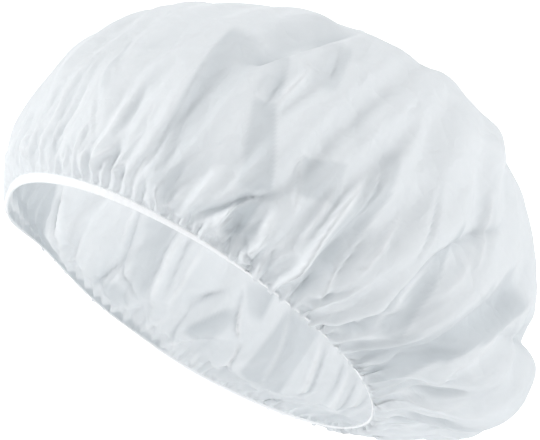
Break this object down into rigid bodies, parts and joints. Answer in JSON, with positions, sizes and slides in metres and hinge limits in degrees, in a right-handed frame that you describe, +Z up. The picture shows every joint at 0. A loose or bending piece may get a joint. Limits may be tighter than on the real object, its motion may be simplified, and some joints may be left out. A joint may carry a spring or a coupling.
{
  "type": "bouffant cap",
  "caption": "Round disposable hair cover of thin white nonwoven cloth, gathered into an elastic edge and puffed up as it is when worn.",
  "frame": {"origin": "centre of the rim, in the plane of the opening that the head goes into", "axes": "+Z up as the cap is worn, -Y towards the wearer's forehead, +X towards their left ear; the rim's front is tilted up by 31.5 degrees"},
  "size_m": [0.2333, 0.2679, 0.2067],
  "materials": {
    "nonwoven": "matte, thin and slightly see-through",
    "elastic": "satin"
  },
  "bodies": {
    "root": {"crown": "nonwoven", "elastic_binding": "elastic"}
  },
  "joints": []
}
